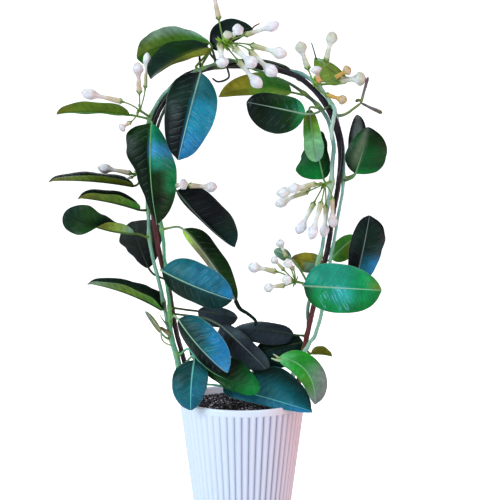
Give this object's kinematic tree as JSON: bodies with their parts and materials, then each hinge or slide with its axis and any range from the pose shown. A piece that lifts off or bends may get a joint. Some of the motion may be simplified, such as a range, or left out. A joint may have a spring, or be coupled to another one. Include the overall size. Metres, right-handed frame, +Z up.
{
  "type": "potted madagascar jasmine",
  "caption": "A twining jasmine houseplant with leathery leaves and waxy white bud clusters, trained round a hoop in a ribbed white pot that stands on its flat foot.",
  "frame": {"origin": "the middle of the pot's flat foot, on the surface it stands on", "axes": "+Z up; the front that the picture shows faces -Y; +X is to that viewer's right"},
  "size_m": [0.3413, 0.13, 0.544],
  "materials": {
    "hoop_cane": "satin",
    "leaf_01_skin": "satin",
    "leaf_02_skin": "satin",
    "leaf_03_skin": "satin",
    "leaf_04_skin": "satin",
    "leaf_05_skin": "satin",
    "leaf_06_skin": "satin",
    "leaf_07_skin": "satin",
    "leaf_08_skin": "satin",
    "leaf_09_skin": "satin",
    "leaf_11_skin": "satin",
    "leaf_12_skin": "satin",
    "leaf_13_skin": "satin",
    "leaf_14_skin": "satin",
    "leaf_15_skin": "satin",
    "leaf_16_skin": "satin",
    "leaf_17_skin": "satin",
    "leaf_18_skin": "satin",
    "leaf_19_skin": "satin",
    "leaf_20_skin": "satin",
    "leaf_21_skin": "satin",
    "leaf_22_skin": "satin",
    "leaf_23_skin": "satin",
    "leaf_24_skin": "satin",
    "leaf_25_skin": "satin",
    "leaf_26_skin": "satin",
    "leaf_27_skin": "satin",
    "leaf_28_skin": "satin",
    "leaf_29_skin": "satin",
    "leaf_30_skin": "satin",
    "leaf_31_skin": "satin",
    "leaf_32_skin": "satin",
    "leaf_33_skin": "satin",
    "leaf_34_skin": "satin",
    "leaf_35_skin": "satin",
    "leaf_36_skin": "satin",
    "leaf_37_skin": "satin",
    "leaf_38_skin": "satin",
    "pot_glaze": "satin",
    "soil_mix": "matte",
    "umbel_inner_left_wax": "satin",
    "umbel_inner_right_wax": "satin",
    "umbel_left_wax": "satin",
    "umbel_left_low_wax": "satin",
    "umbel_right_wax": "satin",
    "umbel_top_wax": "satin",
    "umbel_top_right_wax": "satin",
    "vine_left_inner_skin": "satin",
    "vine_left_outer_skin": "satin",
    "vine_right_inner_skin": "satin",
    "vine_right_outer_skin": "satin"
  },
  "bodies": {
    "root": {"hoop": "hoop_cane", "leaf_01": "leaf_01_skin", "leaf_02": "leaf_02_skin", "leaf_03": "leaf_03_skin", "leaf_04": "leaf_04_skin", "leaf_05": "leaf_05_skin", "leaf_06": "leaf_06_skin", "leaf_07": "leaf_07_skin", "leaf_08": "leaf_08_skin", "leaf_09": "leaf_09_skin", "leaf_11": "leaf_11_skin", "leaf_12": "leaf_12_skin", "leaf_13": "leaf_13_skin", "leaf_14": "leaf_14_skin", "leaf_15": "leaf_15_skin", "leaf_16": "leaf_16_skin", "leaf_17": "leaf_17_skin", "leaf_18": "leaf_18_skin", "leaf_19": "leaf_19_skin", "leaf_20": "leaf_20_skin", "leaf_21": "leaf_21_skin", "leaf_22": "leaf_22_skin", "leaf_23": "leaf_23_skin", "leaf_24": "leaf_24_skin", "leaf_25": "leaf_25_skin", "leaf_26": "leaf_26_skin", "leaf_27": "leaf_27_skin", "leaf_28": "leaf_28_skin", "leaf_29": "leaf_29_skin", "leaf_30": "leaf_30_skin", "leaf_31": "leaf_31_skin", "leaf_32": "leaf_32_skin", "leaf_33": "leaf_33_skin", "leaf_34": "leaf_34_skin", "leaf_35": "leaf_35_skin", "leaf_36": "leaf_36_skin", "leaf_37": "leaf_37_skin", "leaf_38": "leaf_38_skin", "pot": "pot_glaze", "soil": "soil_mix", "umbel_inner_left": "umbel_inner_left_wax", "umbel_inner_right": "umbel_inner_right_wax", "umbel_left": "umbel_left_wax", "umbel_left_low": "umbel_left_low_wax", "umbel_right": "umbel_right_wax", "umbel_top": "umbel_top_wax", "umbel_top_right": "umbel_top_right_wax", "vine_left_inner": "vine_left_inner_skin", "vine_left_outer": "vine_left_outer_skin", "vine_right_inner": "vine_right_inner_skin", "vine_right_outer": "vine_right_outer_skin"}
  },
  "joints": []
}
